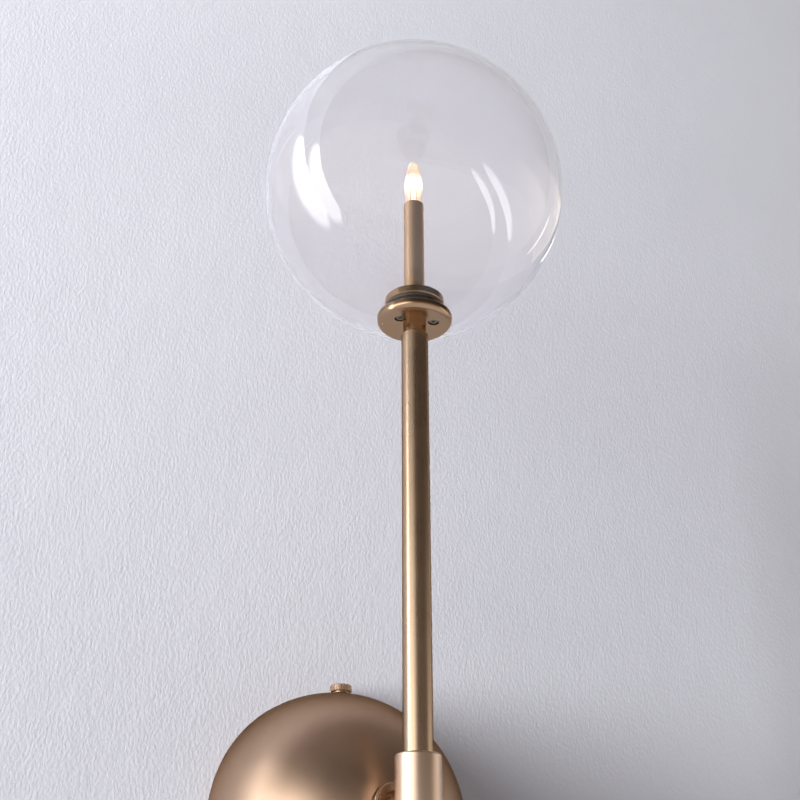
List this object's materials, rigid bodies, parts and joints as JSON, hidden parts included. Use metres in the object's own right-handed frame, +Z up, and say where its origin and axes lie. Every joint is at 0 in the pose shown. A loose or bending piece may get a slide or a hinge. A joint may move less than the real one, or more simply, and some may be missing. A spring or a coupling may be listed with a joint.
{
  "type": "wall sconce",
  "caption": "Wall sconce with a satin brass dome canopy, a short arm, an upright stem and a clear glass globe round a small capsule lamp.",
  "frame": {"origin": "on the wall face, at the middle of the bracket's screw slots, on the axis of the dome and of the arm", "axes": "+Z up along the stem, +Y into the wall, +X to the right along the wall"},
  "size_m": [0.15, 0.157, 0.4371],
  "materials": {
    "brass_dome": "satin brushed, light brown, turned on the dome",
    "brass_stem": "satin, brushed along the tube",
    "brass_hub": "satin, finely turned",
    "brass_turned": "finely turned",
    "zinc_steel": "zinc plated",
    "black_rubber": "matt",
    "clear_glass": "clear, blown",
    "lamp_glass": "clear quartz",
    "filament_wire": "glowing",
    "white_ceramic": "glazed ceramic",
    "driver_case": "moulded",
    "terminal_plastic": "translucent nylon",
    "wire_sleeve": "silicone",
    "contact_metal": "nickel plated"
  },
  "bodies": {
    "bracket": {"mounting_bracket": "zinc_steel", "earth_screw": "brass_turned", "earth_washer": "zinc_steel"},
    "canopy": {"dome_canopy": "brass_dome", "thumbscrew_bosses": "brass_turned", "arm_rosette": "brass_turned", "arm_tube": "brass_stem", "canopy_washer": "zinc_steel", "canopy_nut": "zinc_steel", "driver_strap": "zinc_steel", "led_driver": "driver_case", "terminal_block": "terminal_plastic", "terminal_screws": "zinc_steel", "lead_wires": "wire_sleeve", "hub_body": "brass_hub", "hub_end_cap": "brass_hub", "hub_set_screw": "zinc_steel", "stem_tube": "brass_stem", "neck_coupling": "brass_turned", "threaded_pipe": "zinc_steel", "seat_disc": "brass_turned", "clamp_screws": "zinc_steel", "lower_rubber_ring": "black_rubber", "upper_rubber_ring": "black_rubber", "clamp_ring": "brass_turned", "candle_sleeve": "brass_stem", "lamp_holder": "white_ceramic", "holder_contacts": "contact_metal"},
    "top_washer": {"top_thumbscrew_washer": "brass_turned"},
    "top_screw": {"top_thumbscrew": "brass_turned"},
    "bottom_washer": {"bottom_thumbscrew_washer": "brass_turned"},
    "bottom_screw": {"bottom_thumbscrew": "brass_turned"},
    "globe": {"glass_globe": "clear_glass"},
    "lamp": {"lamp_base": "white_ceramic", "lamp_pins": "contact_metal", "lamp_envelope": "lamp_glass", "lamp_filament": "filament_wire"}
  },
  "joints": [
    {"name": "canopy_pull", "type": "slide", "parent": "bracket", "child": "canopy", "axis": [0, -1, 0], "range_m": [0, 0.03]},
    {"name": "top_thumbscrew_travel", "type": "slide", "parent": "canopy", "child": "top_washer", "axis": [0, 0, 1], "range_m": [0, 0.00315]},
    {"name": "top_thumbscrew_turn", "type": "hinge", "parent": "top_washer", "child": "top_screw", "pos_m": [0, -0.006, 0.062], "axis": [0, 0, 1], "range_deg": [0, 1650]},
    {"name": "bottom_thumbscrew_travel", "type": "slide", "parent": "canopy", "child": "bottom_washer", "axis": [0, 0, -1], "range_m": [0, 0.00315]},
    {"name": "bottom_thumbscrew_turn", "type": "hinge", "parent": "bottom_washer", "child": "bottom_screw", "pos_m": [0, -0.006, -0.062], "axis": [0, 0, -1], "range_deg": [0, 1650]},
    {"name": "globe_lift", "type": "slide", "parent": "canopy", "child": "globe", "axis": [0, 0, 1], "range_m": [0, 0.1]},
    {"name": "lamp_pull", "type": "slide", "parent": "canopy", "child": "lamp", "axis": [0, 0, 1], "range_m": [0, 0.02]}
  ],
  "couplings": [
    {"joint": "top_thumbscrew_turn", "follows": "top_thumbscrew_travel", "rad_per_m": 8976},
    {"joint": "bottom_thumbscrew_turn", "follows": "bottom_thumbscrew_travel", "rad_per_m": 8976}
  ]
}
